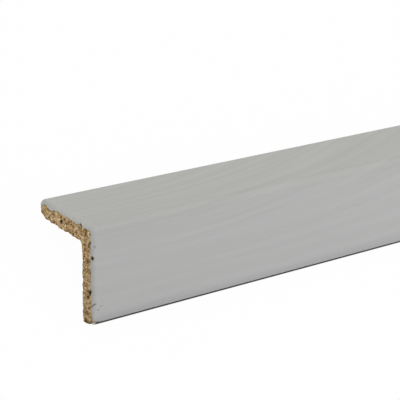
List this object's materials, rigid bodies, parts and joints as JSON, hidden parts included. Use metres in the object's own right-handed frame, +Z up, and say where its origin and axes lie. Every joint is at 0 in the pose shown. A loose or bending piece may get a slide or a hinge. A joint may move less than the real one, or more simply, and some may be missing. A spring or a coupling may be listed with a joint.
{
  "type": "corner guard moulding",
  "caption": "Straight L-section moulding of pressed wood chip with a pale ash-grain finish, a rounded outer corner and rounded toes, for covering an outside wall corner.",
  "frame": {"origin": "on the floor, under the middle of the moulding as it lies on both toes with the outer corner up", "axes": "+X along the moulding, away from the end that the picture shows; +Y across it, towards the leg that is uppermost in the picture; +Z up"},
  "size_m": [1.219, 0.0366, 0.0236],
  "materials": {
    "ash_finish": "matte"
  },
  "bodies": {
    "root": {"corner_guard": "ash_finish"}
  },
  "joints": []
}
